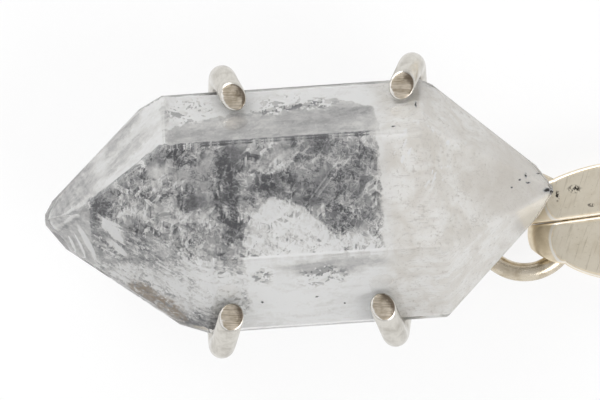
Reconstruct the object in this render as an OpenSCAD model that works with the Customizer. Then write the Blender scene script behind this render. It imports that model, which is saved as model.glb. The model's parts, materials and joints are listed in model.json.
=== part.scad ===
// Hair pin with a short curb chain and a claw-set quartz crystal drop, laid flat.
// +X runs along the chain side, +Y across the table, +Z up; z = 0 is the table.
// The origin is on the table under the middle of the crystal.

/* [Crystal] */
// Turn of the crystal's long axis on the table, degrees
crystal_turn = 3.9; // [-20:0.1:20]
// Distance from the axis to the front face
front_face = 6.05; // [5:0.05:7]
// Distance from the axis to the upper front face
upper_front_face = 6.55; // [5.8:0.05:7]
// Distance from the axis to the upper back face
upper_back_face = 5.85; // [5.3:0.05:6.4]
// Distance from the axis to the back face
back_face = 6.05; // [5:0.05:7]
// Distance from the axis to the lower back face
lower_back_face = 6.55; // [5.8:0.05:7]
// Distance from the axis to the lower front face
lower_front_face = 5.5; // [5:0.05:6.2]
// Length of the prism faces to the left of the middle
prism_left = 7.65; // [7:0.05:9]
// Length of the prism faces to the right of the middle
prism_right = 7.9; // [7.6:0.05:9]
// Distance from the middle to the blunt left tip
left_tip = 15; // [14.5:0.05:15.1]
// Thickness of the clear skin over the crystal's cloudy heart
clear_skin = 0.25; // [0.15:0.05:0.5]
// Depth of clear quartz over the heart at the left end faces
clear_end = 0.6; // [0.4:0.05:1.2]

/* [Setting] */
// Diameter of the claw wire
claw_wire_d = 1.5; // [1:0.1:2]
// Gap between the claw wire and the crystal
claw_gap = 0.12; // [0.05:0.01:0.3]
// Bend radius of the claw wire at its centre line
claw_bend = 1.4; // [1.1:0.05:1.6]
// Length of the upper claws beyond the crystal's widest edge
upper_claw_length = 2.9; // [2:0.1:3.5]
// Length of the lower claws beyond the crystal's widest edge
lower_claw_length = 3.9; // [3:0.1:4.5]
// Diameter of the bar behind the crystal
bar_d = 1.4; // [0.8:0.1:1.5]
// Place of the bar and of the hanging eye across the crystal
bar_y = -0.25; // [-1:0.05:1]
// Distance from the crystal's middle to the centre of the hanging eye
eye_x = 11.03; // [10.85:0.01:12]

/* [Rings and eyes] */
// Wire diameter of the two rings
ring_wire_d = 1.1; // [0.9:0.05:1.2]
// Diameter of each ring at the centre of its wire
ring_d = 5.5; // [5.4:0.1:6.5]
// Wire diameter of the two standing eyes
eye_wire_d = 0.9; // [0.7:0.05:1]
// Diameter of the two standing eyes at the centre of their wire
eye_d = 2.6; // [2.5:0.05:2.8]

/* [Chain] */
// Overall length of the two links
link_length = 10.8; // [10:0.1:13]
// Greatest width of the lower link
lower_link_width = 3.9; // [3:0.1:4.2]
// Greatest width of the upper link
upper_link_width = 3.05; // [2.8:0.05:4.2]
// Width of a link where its ends begin to bend down
shoulder_width = 2.5; // [2:0.1:2.7]
// Width of a link at the ends that pass through the rings
neck_width = 1.5; // [1.2:0.05:1.6]
// Thickness of the filed strip that a link is bent from
strip_thickness = 1.1; // [0.9:0.05:1.15]
// Gap between a ring and the strip above and below it
strip_gap = 0.32; // [0.25:0.01:0.35]
// Play between a ring and the end of a link
link_play = 0.35; // [0.2:0.01:0.5]
// Gap between the two links
pair_gap = 0.12; // [0.05:0.01:0.2]

/* [Hair pin] */
// Diameter of the pin's wire
pin_wire_d = 1.8; // [1.4:0.1:2]
// Distance between the centre lines of the two legs
leg_spacing = 9; // [8:0.5:12]
// Length of the pin from its crown to its tips
pin_length = 50; // [40:1:75]

/* [Hidden] */
$fn = 48;
quartz_colour = [0.9, 0.9, 0.92, 0.5];
heart_colour = [0.75, 0.75, 0.76];
silver_colour = [0.8, 0.78, 0.74];

// Depth to which soldered wires sink into each other
solder = 0.2;

// Prism faces in order round the axis, a step apart, from the front face over the top
prism_faces = [front_face, upper_front_face, upper_back_face,
    back_face, lower_back_face, lower_front_face];
face_step = 60;
last_face = len(prism_faces) - 1;

// End faces, one beyond each prism face: slope to the axis, degrees
left_slopes = [30, 40, 37, 50, 35, 32];
right_slopes = [40.5, 40.4, 34.6, 40, 40, 40];
// Start of each end face before (-) or after (+) the prism's end
left_starts = [0.15, 0, 1.4, 2.6, -0.1, -1.8];
right_starts = [-0.3, -0.55, 0.3, 0, 0.25, 0.35];
// Turn of the right end's front face about the axis, away from the front prism face, degrees
front_twist = 8;

// Side of the cubes that cut the crystal's faces, well over its length
crystal_block = 4 * (prism_left + prism_right);

// Claw wire, its centre line off the crystal's faces, and the height of the crystal's axis
claw_r = claw_wire_d / 2;
claw_offset = claw_r + claw_gap;
crystal_z = claw_wire_d + claw_gap + back_face;
claw_sides = 16;
bend_steps = 6;

// Places of each claw wire along the crystal: upper tip, upper bend, back at top, back at bottom,
// lower bend, lower tip
claw_left_x = [-3.45, -4.1, -4.6, -5.3, -5.2, -4.45];
claw_right_x = [6.35, 7.15, 7.3, 5.9, 5.1, 4.4];

// Headings on the table, degrees: jump ring from its eye, links, pin's eye from its ring, and pin
jump_ring_heading = -34;
link_heading = 7.8;
pin_exit = 66;
pin_heading = 88;

// Rings and eyes
eye_r = eye_wire_d / 2;
ring_half = ring_d / 2;

// Links: strips bent to upright loops, so that a ring passes between the upper and the lower run
run_rise = (ring_wire_d + strip_thickness) / 2 + strip_gap;
link_half = (link_length - strip_thickness) / 2;
run_half = link_half - run_rise;
link_z = run_rise + strip_thickness / 2;
run_steps = 16;
turn_steps = 12;
link_sides = 20;
flatness = 3.5;
run_fullness = 0.8;

// Distance from a ring's centre to the inside of a link's end, and to the middle of the links
neck_reach = sqrt(pow((ring_d - ring_wire_d) / 2, 2) - pow(pair_gap / 2 + neck_width, 2)) - link_play;
link_reach = neck_reach + link_half - strip_thickness / 2;

// Hair pin
pin_r = pin_wire_d / 2;
eye_reach = sqrt(pow(eye_d / 2 + eye_r + pin_r - solder, 2) - pow(link_z - pin_r, 2));

// Places along the chain
function heading(a) = [cos(a), sin(a)];
eye_place = [eye_x * cos(crystal_turn) - bar_y * sin(crystal_turn),
    eye_x * sin(crystal_turn) + bar_y * cos(crystal_turn)];
jump_ring_place = eye_place + ring_half * heading(jump_ring_heading);
link_place = jump_ring_place + link_reach * heading(link_heading);
pin_ring_place = link_place + link_reach * heading(link_heading);
pin_eye_place = pin_ring_place + ring_half * heading(pin_exit);
pin_place = pin_eye_place + eye_reach * heading(pin_heading);

// Corner of the crystal's hexagon after face i, moved out by a distance, as [y, z]
function face_normal(i) = [sin(face_step * i), cos(face_step * i)];
function face_along(i) = [cos(face_step * i), -sin(face_step * i)];
function face_far(i, out) = prism_faces[i % len(prism_faces)] + out;
function corner(i, out) = face_far(i, out) * face_normal(i)
    + (face_far(i + 1, out) - face_far(i, out) * cos(face_step)) / sin(face_step) * face_along(i);
function unit(v) = v / norm(v);
function claw_point(x, yz) = [x, yz[0], yz[1] + crystal_z];

// Points of a claw wire along its centre line, from the upper tip round the back to the lower tip
function claw_path(x) = [
    claw_point(x[0], corner(1, claw_offset)
        + upper_claw_length * unit(corner(0, claw_offset) - corner(1, claw_offset))),
    claw_point(x[1], corner(1, claw_offset)),
    claw_point(x[2], corner(2, claw_offset)),
    claw_point(x[3], corner(3, claw_offset)),
    claw_point(x[4], corner(4, claw_offset)),
    claw_point(x[5], corner(4, claw_offset)
        + lower_claw_length * unit(corner(5, claw_offset) - corner(4, claw_offset)))];

// Place along the crystal where a claw wire's back run crosses the bar
function bar_cross(x) = x[3] + (x[2] - x[3]) * (bar_y - corner(3, claw_offset)[0])
    / (corner(2, claw_offset)[0] - corner(3, claw_offset)[0]);

// Stations round a link's loop: place along, height, outward direction along and up, and width
function run_width(x, widest) = shoulder_width
    + (widest - shoulder_width) * pow(cos(90 * x / run_half), run_fullness);
function turn_width(a) = neck_width + (shoulder_width - neck_width) * pow(cos(a), 2);
function half_loop(widest, side) = concat(
    [for (k = [0:run_steps - 1]) let (x = run_half * (2 * k / run_steps - 1))
        [side * x, side * run_rise, 0, side, run_width(x, widest)]],
    [for (k = [0:turn_steps - 1]) let (a = 180 * k / turn_steps)
        [side * (run_half + run_rise * sin(a)), side * run_rise * cos(a),
        side * sin(a), side * cos(a), turn_width(a)]]);
function loop(widest) = concat(half_loop(widest, 1), half_loop(widest, -1));
function power(v, p) = sign(v) * pow(abs(v), p);

// Points of a link's skin at a station; hand is 1 for the upper link and -1 for the lower one
function strip_ring(station, hand) = [for (s = [0:link_sides - 1]) let (
    turn = 360 * s / link_sides,
    out = strip_thickness / 2 * power(sin(turn), 2 / flatness),
    y = pair_gap / 2 + station[4] / 2 * (1 + hand * power(cos(turn), 2 / flatness)))
    [station[0] + station[2] * out, hand * y, station[1] + station[3] * out]];

// Rigid move that sends X, Y and Z to three directions and the origin to a place
module aim(x, y, z, place) {
    multmatrix([[x[0], y[0], z[0], place[0]], [x[1], y[1], z[1], place[1]],
        [x[2], y[2], z[2], place[2]], [0, 0, 0, 1]]) children();
}

// Straight round rod between two points
module rod(a, b, d) {
    along = unit(b - a);
    side = unit(cross(abs(along[2]) < 0.9 ? [0, 0, 1] : [1, 0, 0], along));
    aim(side, cross(along, side), along, a) cylinder(h = norm(b - a), d = d);
}

// Faces of a swept skin of rings; an open one is closed by its first and last ring
function ring_at(r, s, rings, sides) = (r % rings) * sides + s % sides;
function skin(rings, sides, closed) = [for (r = [0:rings - (closed ? 1 : 2)]) for (s = [0:sides - 1])
    for (half = [0, 1]) half == 0
    ? [ring_at(r, s, rings, sides), ring_at(r + 1, s, rings, sides), ring_at(r + 1, s + 1, rings, sides)]
    : [ring_at(r, s, rings, sides), ring_at(r + 1, s + 1, rings, sides), ring_at(r, s + 1, rings, sides)]];
function end_caps(rings, sides) = [[for (s = [0:sides - 1]) s],
    [for (s = [sides - 1:-1:0]) (rings - 1) * sides + s]];

// Points of a round bend at corner b, between points a and c
function bend(a, b, c, radius) = let (
    into = unit(b - a),
    out = unit(c - b),
    turn = acos(into * out),
    inward = unit(out - into * (into * out)),
    start = b - into * radius * tan(turn / 2))
    [for (k = [0:bend_steps]) start + radius * (into * sin(turn * k / bend_steps)
        + inward * (1 - cos(turn * k / bend_steps)))];

// Route with a round bend at each inner point
function rounded(points, radius) = let (last = len(points) - 1)
    [points[0],
    for (i = [1:last - 1]) each bend(points[i - 1], points[i], points[i + 1], radius),
    points[last]];

// Ring of points round a claw wire; the rings at the two tips are cut level
function claw_ring(route, i) = let (
    last = len(route) - 1,
    along = unit(route[min(i + 1, last)] - route[max(i - 1, 0)]),
    side = unit(cross([1, 0, 0], along)),
    up = cross(along, side))
    [for (s = [0:claw_sides - 1]) let (
        out = claw_r * (side * cos(360 * s / claw_sides) + up * sin(360 * s / claw_sides)),
        level = i == 0 || i == last ? -out[2] / along[2] : 0)
        route[i] + out + along * level];

// All that lies under a flat face: turn about the crystal's axis, slope and distance from the axis
module under_face(turn, slope, far) {
    rotate([-turn, 0, 0]) rotate([0, slope, 0])
        translate([-crystal_block / 2, -crystal_block / 2, far - crystal_block]) cube(crystal_block);
}

// End face beyond prism face i, which it leaves at start, moved in by an inset; side is 1 at the right
// end and -1 at the left
module end_face(i, slope, start, side, inset, twist = 0) {
    far = prism_faces[i] * cos(slope) + start * sin(slope) - inset;
    under_face(face_step * i + twist, side * slope, far);
}

// The crystal and its setting are made along X and turned on the table
module on_crystal() {
    rotate(crystal_turn) children();
}

// Crystal's form with its faces moved in, those of the left end by an inset of their own
module crystal_form(inset, left_inset) {
    intersection() {
        intersection_for(i = [0:last_face]) under_face(face_step * i, 0, prism_faces[i] - inset);
        intersection_for(i = [0:last_face])
            end_face(i, left_slopes[i], prism_left + left_starts[i], -1, left_inset);
        under_face(0, -90, left_tip - left_inset);
        intersection_for(i = [0:last_face])
            end_face(i, right_slopes[i], prism_right + right_starts[i], 1, inset, i == 0 ? front_twist : 0);
    }
}

// Cloudy and broken part inside the crystal
module heart_form() {
    crystal_form(clear_skin, clear_end);
}

// Clear outer part of the crystal
module crystal() {
    color(quartz_colour) on_crystal() translate([0, 0, crystal_z]) difference() {
        crystal_form(0, 0);
        heart_form();
    }
}

module crystal_heart() {
    color(heart_colour) on_crystal() translate([0, 0, crystal_z]) heart_form();
}

module claw_wire(x) {
    route = rounded(claw_path(x), claw_bend);
    rings = len(route);
    points = [for (i = [0:rings - 1]) each claw_ring(route, i)];
    color(silver_colour) on_crystal()
        polyhedron(points, concat(skin(rings, claw_sides, false), end_caps(rings, claw_sides)));
}

module claw_wire_left() {
    claw_wire(claw_left_x);
}

module claw_wire_right() {
    claw_wire(claw_right_x);
}

module back_bar() {
    sink = claw_r - solder;
    color(silver_colour) on_crystal()
        rod([bar_cross(claw_left_x) + sink, bar_y, claw_r],
            [bar_cross(claw_right_x) - sink, bar_y, claw_r], bar_d);
}

// Round ring in its own XY plane
module ring(middle_d, wire_d) {
    rotate_extrude() translate([middle_d / 2, 0]) circle(d = wire_d);
}

// Ring of the chain, lying level
module chain_ring(place) {
    color(silver_colour) translate([place[0], place[1], link_z]) ring(ring_d, ring_wire_d);
}

// Standing eye with its hole across the given heading
module standing_eye(place, turn) {
    translate([place[0], place[1], link_z]) rotate(turn) rotate([90, 0, 0]) ring(eye_d, eye_wire_d);
}

module hanging_eye() {
    stem_start = bar_cross(claw_right_x) + claw_r - solder;
    stem_end = eye_x - sqrt(max(0, pow(eye_d / 2, 2) - pow(link_z - claw_r, 2)));
    color(silver_colour) {
        on_crystal() rod([stem_start, bar_y, claw_r], [stem_end, bar_y, claw_r], eye_wire_d);
        standing_eye(eye_place, jump_ring_heading);
    }
}

module jump_ring() {
    chain_ring(jump_ring_place);
}

// One of the two links side by side
module curb_link(widest, hand) {
    stations = loop(widest);
    points = [for (station = stations) each strip_ring(station, hand)];
    color(silver_colour) translate([link_place[0], link_place[1], link_z]) rotate(link_heading)
        polyhedron(points, skin(len(stations), link_sides, true));
}

module lower_link() {
    curb_link(lower_link_width, -1);
}

module upper_link() {
    curb_link(upper_link_width, 1);
}

module pin_ring() {
    chain_ring(pin_ring_place);
}

module pin_eye() {
    color(silver_colour) standing_eye(pin_eye_place, pin_heading);
}

module hair_pin() {
    half = leg_spacing / 2;
    straight = pin_length - half - pin_wire_d;
    color(silver_colour) translate([pin_place[0], pin_place[1], pin_r]) rotate(pin_heading) {
        translate([half, 0, 0]) rotate(90) rotate_extrude(angle = 180)
            translate([half, 0]) circle(d = pin_wire_d);
        for (side = [-half, half]) {
            translate([half, side, 0]) rotate([0, 90, 0]) cylinder(h = straight, d = pin_wire_d);
            translate([half + straight, side, 0]) sphere(d = pin_wire_d);
        }
    }
}

crystal();
crystal_heart();
claw_wire_left();
claw_wire_right();
back_bar();
hanging_eye();
jump_ring();
lower_link();
upper_link();
pin_ring();
pin_eye();
hair_pin();
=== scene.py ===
"""Looks of a hair pin with a claw-set quartz drop on a pair of filed links.

Sizes are in millimetres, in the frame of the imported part, and turn into metres where a mesh is made.
"""
import json
import math

import bmesh
import bpy
from mathutils import Matrix, Vector, noise


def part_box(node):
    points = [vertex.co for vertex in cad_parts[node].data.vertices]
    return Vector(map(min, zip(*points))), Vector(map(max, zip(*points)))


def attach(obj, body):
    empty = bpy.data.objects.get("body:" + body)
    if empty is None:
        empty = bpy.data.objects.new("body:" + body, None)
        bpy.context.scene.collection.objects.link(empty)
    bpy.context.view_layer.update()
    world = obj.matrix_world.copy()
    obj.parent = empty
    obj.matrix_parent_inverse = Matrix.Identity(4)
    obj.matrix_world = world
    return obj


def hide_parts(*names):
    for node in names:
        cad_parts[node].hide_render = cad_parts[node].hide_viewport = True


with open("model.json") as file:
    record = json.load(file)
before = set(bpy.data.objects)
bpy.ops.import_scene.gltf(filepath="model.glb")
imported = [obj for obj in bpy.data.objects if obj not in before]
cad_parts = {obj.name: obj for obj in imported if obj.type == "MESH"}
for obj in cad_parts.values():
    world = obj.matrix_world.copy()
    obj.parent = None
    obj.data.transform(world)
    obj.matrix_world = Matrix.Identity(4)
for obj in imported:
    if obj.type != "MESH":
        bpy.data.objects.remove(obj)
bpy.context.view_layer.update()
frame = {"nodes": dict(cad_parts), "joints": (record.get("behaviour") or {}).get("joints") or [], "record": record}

MM = 0.001
scene = bpy.context.scene
JOINTS = {j["name"]: j for j in frame["joints"]}
MOUNTS = {m["name"]: m for m in frame["record"]["mounts"]}

# Camera
FRAME_WIDTH = 35.2  # width of the view at the height of the crystal's axis
VIEW_CENTRE = (-0.03, 0.5)
VIEW_DISTANCE = 450.0
SENSOR_WIDTH = 36.0
NEAREST = 10.0
FARTHEST = 20000.0

# Floor, room and lamps
FLOOR_SIZE = 3000.0
FLOOR_DROP = 0.02  # that the floor lies under the part
FLOOR_PAPER = (0.93, 0.93, 0.93, 1)
FLOOR_WHITE = (0.99, 0.99, 0.99, 1)
WHITE_SHARE = 0.85  # of plain white where the floor is seen; the rest keeps the shadow
# Room's colours and the heights of the directions at which they start
ROOM = ((0.15, (1.0, 1.0, 1.0, 1)), (0.9, (0.64, 0.64, 0.65, 1)))
# Lamps: name, place, power in watts
LAMPS = (("left_softbox", (-140, 240, 230), 0.56), ("right_softbox", (220, -200, 280), 0.65))
LAMP_SIZE = 260
LAMP_TARGET = (0, 0, 5)

# Crystal and claws, as in the part
CRYSTAL_TURN = math.radians(3.9)
CRYSTAL_SIDES = 6
SIDE_STEP = 60  # degrees between the crystal's faces
PRISM_LEAN = 0.05  # most that a prism face leans along the axis
CLAW_R = 0.745
CLAW_GAP = 0.125
CLAW_BEND = 1.4
UPPER_CLAW = 2.9
LOWER_CLAW = 3.9
CLAW_LEFT_X = (-3.45, -4.1, -4.6, -5.3, -5.2, -4.45)
CLAW_RIGHT_X = (6.35, 7.15, 7.3, 5.9, 5.1, 4.4)
TIP_DROP = 0.16  # fall from a tip's middle to where its rim starts
TIP_DOME = 0.48  # share of that fall on the filed face
# Rings of a claw tip from its rim to its middle: share of its width, extra drop of the rim
TIP_RINGS = ((0.97, 0.2), (0.9, 0.04), (0.8, 0), (0.6, 0), (0.4, 0), (0.2, 0))
BAR_Y = -0.25
BAR_R = 0.7
SOLDER = 0.2
EYE_WIRE_R = 0.45
EYE_R = 1.3
STEM_OVERLAP = 0.1
STEM_FLARE = 0.08  # that the stem widens into its solder
FLARE_LENGTH = 0.25

# Chain and pin, as in the part
RING_R = 2.75
RING_WIRE_R = 0.55
LINK_LENGTH = 10.8
LOWER_LINK_WIDTH = 3.9
UPPER_LINK_WIDTH = 3.05
SHOULDER_WIDTH = 2.5
NECK_WIDTH = 1.5
STRIP_THICKNESS = 1.1
STRIP_GAP = 0.32
PAIR_GAP = 0.03  # between the two links' long edges
RUN_FULLNESS = 0.8
STRIP_ROUND = 0.16  # radius of the strip's long edges
STRIP_CROWN = 0.14  # height that the strip's outer face rises to its middle
FILE_CUT = 0.1  # depth that the crown and the bends are filed flat
FLAT_NORMAL = 0.999  # upright share of a filed face's normal
PIN_SHARE = 0.996  # of the pin's radius, so that its round sides stay inside the part's box
LEG_STEPS = 20
CROWN_STEPS = 64
PIN_TIP_STEPS = 9


def place_of(joint):
    """Joint's place in millimetres."""
    return Vector(JOINTS[joint]["pos_m"]) / MM


def box_centre(node):
    """Middle of a CAD node's box in millimetres."""
    low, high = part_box(node)
    return (low + high) / 2 / MM


def crystal_axis_z():
    """Height of the crystal's axis."""
    low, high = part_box("crystal")
    return (low.z + high.z) / 2 / MM


AXIS_Z = crystal_axis_z()


def srgb(red, green, blue):
    """Linear colour with full alpha from display values of 0 to 255."""
    def linear(v):
        v /= 255
        return v / 12.92 if v <= 0.04045 else ((v + 0.055) / 1.055) ** 2.4
    return (linear(red), linear(green), linear(blue), 1.0)


class Shader:
    """Nodes of a new material or world, each added and linked in one call."""

    def __init__(self, name, owners=bpy.data.materials, kind="Material"):
        self.owner = owners.new(name)
        self.owner.use_nodes = True
        self.tree = self.owner.node_tree
        self.tree.nodes.clear()
        self.output = self.tree.nodes.new("ShaderNodeOutput" + kind)

    def add(self, kind, sockets, out=0, **settings):
        node = self.tree.nodes.new(kind)
        for key, value in settings.items():
            setattr(node, key, value)
        for key, value in sockets.items():
            if isinstance(value, bpy.types.NodeSocket):
                self.tree.links.new(value, node.inputs[key])
            else:
                node.inputs[key].default_value = value
        return node.outputs[out]

    def math(self, operation, a, b=0.0):
        return self.add("ShaderNodeMath", {0: a, 1: b}, operation=operation)

    def times(self, a, b):
        return self.math("MULTIPLY", a, b)

    def centred(self, value):
        """Noise's value, moved so that its middle is nought."""
        return self.math("SUBTRACT", value, 0.5)

    def most(self, values):
        """Largest of several numbers."""
        largest = values[0]
        for value in values[1:]:
            largest = self.math("MAXIMUM", largest, value)
        return largest

    def total(self, start, terms):
        """Sum of a start and (number, weight) terms."""
        for value, weight in terms:
            start = self.add("ShaderNodeMath", {0: value, 1: weight, 2: start}, operation="MULTIPLY_ADD")
        return start

    def remap(self, value, low, high, to_low=0.0, to_high=1.0):
        return self.add("ShaderNodeMapRange", {0: value, 1: low, 2: high, 3: to_low, 4: to_high},
                        interpolation_type="SMOOTHSTEP")

    def mix(self, factor, a, b):
        return self.add("ShaderNodeMix", {0: factor, 6: a, 7: b}, 2, data_type="RGBA")

    def tint(self, base, colour, share, weight):
        """Base with a colour over it, in a share that a weight holds back."""
        return self.mix(self.times(share, weight), base, colour)

    def vector(self, operation, a, b, out=0):
        return self.add("ShaderNodeVectorMath", {0: a, 1: b}, out, operation=operation)

    def axis(self, vector, index):
        """X, Y or Z of a vector."""
        return self.add("ShaderNodeSeparateXYZ", {0: vector}, index)

    def coordinates(self, turn=0.0, stretch=(1, 1, 1)):
        """Place on the piece in millimetres, turned about Z into the piece's own direction."""
        point = self.add("ShaderNodeTexCoord", {}, "Object")
        turned = self.add("ShaderNodeVectorRotate", {"Vector": point, "Angle": -turn}, rotation_type="Z_AXIS")
        scale = tuple(s / MM for s in stretch)
        return self.add("ShaderNodeMapping", {"Vector": turned, "Scale": scale})

    def noise(self, vector, scale, detail=4.0, roughness=0.6, distortion=0.0, out=0):
        return self.add("ShaderNodeTexNoise", {"Vector": vector, "Scale": scale, "Detail": detail,
                                               "Roughness": roughness, "Distortion": distortion}, out)

    def warp(self, vector, scale, reach, detail=4.0, roughness=0.6):
        """Vector pushed about by a noise."""
        push = self.noise(vector, scale, detail, roughness, out="Color")
        push = self.vector("SUBTRACT", push, (0.5, 0.5, 0.5))
        push = self.add("ShaderNodeVectorMath", {0: push, "Scale": reach}, operation="SCALE")
        return self.vector("ADD", vector, push)

    def oval(self, vector, place, radii, turn=0.0, soft=0.9):
        """One inside an upright oval column and nought outside it, with a soft edge."""
        near = self.vector("SUBTRACT", vector, (*place, 0))
        near = self.add("ShaderNodeVectorRotate", {"Vector": near, "Angle": -math.radians(turn)},
                        rotation_type="Z_AXIS")
        near = self.vector("MULTIPLY", near, (1 / radii[0], 1 / radii[1], 0))
        far = self.add("ShaderNodeVectorMath", {0: near}, "Value", operation="LENGTH")
        return self.remap(far, 1 + soft / 2, 1 - soft / 2)

    def ramp(self, value, stops):
        """Colour by a number, from (number, colour) stops."""
        node = self.tree.nodes.new("ShaderNodeValToRGB")
        self.tree.links.new(value, node.inputs[0])
        elements = node.color_ramp.elements
        for element, (position, colour) in zip(elements, (stops[0], stops[-1])):
            element.position = position
            element.color = colour
        for position, colour in stops[1:-1]:
            elements.new(position).color = colour
        return node.outputs[0]

    def bump(self, height, distance, strength):
        return self.add("ShaderNodeBump", {"Height": height, "Distance": distance * MM, "Strength": strength})

    def principled(self, **sockets):
        names = {key.replace("_", " "): value for key, value in sockets.items()}
        return self.surface(self.add("ShaderNodeBsdfPrincipled", names))

    def surface(self, shader):
        """Links the output to a shader and returns the material or world."""
        self.tree.links.new(shader, self.output.inputs["Surface"])
        return self.owner


def object_of(name, mesh, materials, smooth):
    """Object of a mesh, with its shading and materials."""
    if smooth:
        mesh.shade_smooth()
    else:
        mesh.shade_flat()
    for material in materials:
        mesh.materials.append(material)
    return bpy.data.objects.new(name, mesh)


def mesh_piece(name, points, faces, materials, smooth=True):
    """Object from points in millimetres, its faces turned outwards."""
    mesh = bpy.data.meshes.new(name)
    mesh.from_pydata([tuple(c * MM for c in p) for p in points], [], [tuple(f) for f in faces])
    mesh.validate()
    turned = bmesh.new()
    turned.from_mesh(mesh)
    bmesh.ops.recalc_face_normals(turned, faces=turned.faces)
    turned.to_mesh(mesh)
    turned.free()
    return object_of(name, mesh, materials, smooth)


def bmesh_piece(name, block, materials, smooth):
    """Object from a mesh under construction, which is used up."""
    mesh = bpy.data.meshes.new(name)
    block.to_mesh(mesh)
    block.free()
    return object_of(name, mesh, materials, smooth)


def finish_piece(piece, body, replaced=()):
    """Puts a piece in the scene, on its body and the nodes that it stands for."""
    scene.collection.objects.link(piece)
    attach(piece, body)
    if replaced:
        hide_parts(*replaced)


def band(a, b, sides):
    """Quads between two rings of points that start at a and b."""
    return [(a + s, b + s, b + (s + 1) % sides, a + (s + 1) % sides) for s in range(sides)]


def skin(rings, sides, closed):
    """Quads between rings of points that follow each other."""
    faces = []
    for r in range(rings if closed else rings - 1):
        faces += band(r * sides, (r + 1) % rings * sides, sides)
    return faces


def tube(path, radius, sides=32):
    """Rings of points round a path, with no twist, as a flat list, and the path's directions."""
    count = len(path)
    along = [(path[min(i + 1, count - 1)] - path[max(i - 1, 0)]).normalized() for i in range(count)]
    side = along[0].orthogonal().normalized()
    points = []
    for i in range(count):
        side = (side - along[i] * side.dot(along[i])).normalized()
        up = along[i].cross(side)
        for s in range(sides):
            turn = 2 * math.pi * s / sides
            points.append(path[i] + radius * (side * math.cos(turn) + up * math.sin(turn)))
    return points, along


def torus(centre, axis, ring_r, wire_r, steps=128, sides=40):
    """Points and faces of a ring about an axis."""
    axis = Vector(axis).normalized()
    first = axis.orthogonal().normalized()
    second = axis.cross(first)
    points = []
    for i in range(steps):
        turn = 2 * math.pi * i / steps
        out = first * math.cos(turn) + second * math.sin(turn)
        for s in range(sides):
            wire_turn = 2 * math.pi * s / sides
            reach = ring_r + wire_r * math.cos(wire_turn)
            points.append(centre + out * reach + axis * wire_r * math.sin(wire_turn))
    return points, skin(steps, sides, True)


# Stage
def make_camera():
    data = bpy.data.cameras.new("camera")
    data.sensor_width = SENSOR_WIDTH
    data.lens = SENSOR_WIDTH * VIEW_DISTANCE / FRAME_WIDTH
    data.clip_start = NEAREST * MM
    data.clip_end = FARTHEST * MM
    camera = bpy.data.objects.new("camera", data)
    camera.location = Vector((VIEW_CENTRE[0], VIEW_CENTRE[1], AXIS_Z + VIEW_DISTANCE)) * MM
    scene.collection.objects.link(camera)
    scene.camera = camera


def floor_material():
    """White where the camera, a reflection or a refraction sees it, with a little of the shadow left."""
    s = Shader("white_floor")
    paper = s.add("ShaderNodeBsdfDiffuse", {"Color": FLOOR_PAPER})
    glow = s.add("ShaderNodeEmission", {"Color": FLOOR_WHITE})
    path = s.tree.nodes.new("ShaderNodeLightPath")
    seen = s.most([path.outputs[ray] for ray in ("Is Camera Ray", "Is Glossy Ray", "Is Transmission Ray")])
    return s.surface(s.add("ShaderNodeMixShader", {0: s.times(seen, WHITE_SHARE), 1: paper, 2: glow}))


def make_floor():
    half = FLOOR_SIZE / 2
    floor = mesh_piece("floor", [(-half, -half, 0), (half, -half, 0), (half, half, 0), (-half, half, 0)],
                       [(0, 1, 2, 3)], [floor_material()], smooth=False)
    floor.location.z = -FLOOR_DROP * MM
    scene.collection.objects.link(floor)


def make_world():
    """Pale room, a little darker overhead, which silver and crystal reflect."""
    s = Shader("room", bpy.data.worlds, "World")
    height = s.axis(s.add("ShaderNodeTexCoord", {}, "Generated"), 2)
    scene.world = s.surface(s.add("ShaderNodeBackground", {"Color": s.ramp(height, ROOM)}))


def make_lamp(name, place, power):
    data = bpy.data.lights.new(name, "AREA")
    data.shape = "DISK"
    data.size = LAMP_SIZE * MM
    data.energy = power
    lamp = bpy.data.objects.new(name, data)
    lamp.location = Vector(place) * MM
    lamp.rotation_euler = (Vector(LAMP_TARGET) - Vector(place)).to_track_quat("-Z", "Y").to_euler()
    scene.collection.objects.link(lamp)


def make_stage():
    make_camera()
    make_floor()
    make_world()
    for lamp in LAMPS:
        make_lamp(*lamp)
    scene.view_settings.view_transform = "Standard"


# Silver: colours, and how close the rubbed lines lie along X, Y and Z on each kind of wire
CLAW_SILVER = srgb(213, 210, 203)
CLAW_STAIN = srgb(170, 165, 156)
WARM_SILVER = srgb(212, 202, 184)
WARM_STAIN = srgb(170, 156, 132)
ALONG_CLAW = (5.0, 0.4, 0.4)
ALONG_ROD = (0.35, 6.0, 6.0)
ALONG_RING = (0.4, 0.4, 6.0)

# Claw tips: colours, and the file's direction and closeness
TIP_LIGHT = srgb(214, 203, 186)
TIP_DULL = srgb(186, 174, 154)
TIP_LINES = srgb(122, 109, 92)
# painted shade where a tip turns away from the lamps, and a painted highlight on its left rim
TIP_PAINTED_SHADE = srgb(84, 72, 60)
TIP_PAINTED_HIGHLIGHT = srgb(252, 249, 243)
TIP_FILING = math.radians(-3)
ALONG_FILE = (0.2, 5.0, 1.0)

# Links: colours, the scratches' direction and closeness, and specks of dirt as place and radii
FILED_LIGHT = srgb(215, 207, 190)
FILED_STAIN = srgb(190, 179, 157)
FILED_SCRATCH = srgb(150, 138, 116)
FILED_PIT = srgb(140, 128, 106)
BEND_LIGHT = srgb(244, 231, 206)
BEND_STAIN = srgb(218, 203, 175)
PAINTED_RIM_HIGHLIGHT = srgb(248, 243, 233)
# painted highlight along the edge of each filed flat
DIRT = srgb(52, 48, 44)
SCRATCHING = math.radians(72)
ALONG_SCRATCH = (0.3, 5.0, 5.0)
LINK_DIRT = (((16.2, 1.15), (0.35, 0.22)), ((15.2, 0.75), (0.12, 0.3)), ((17.2, 0.2), (0.2, 0.1)))


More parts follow.
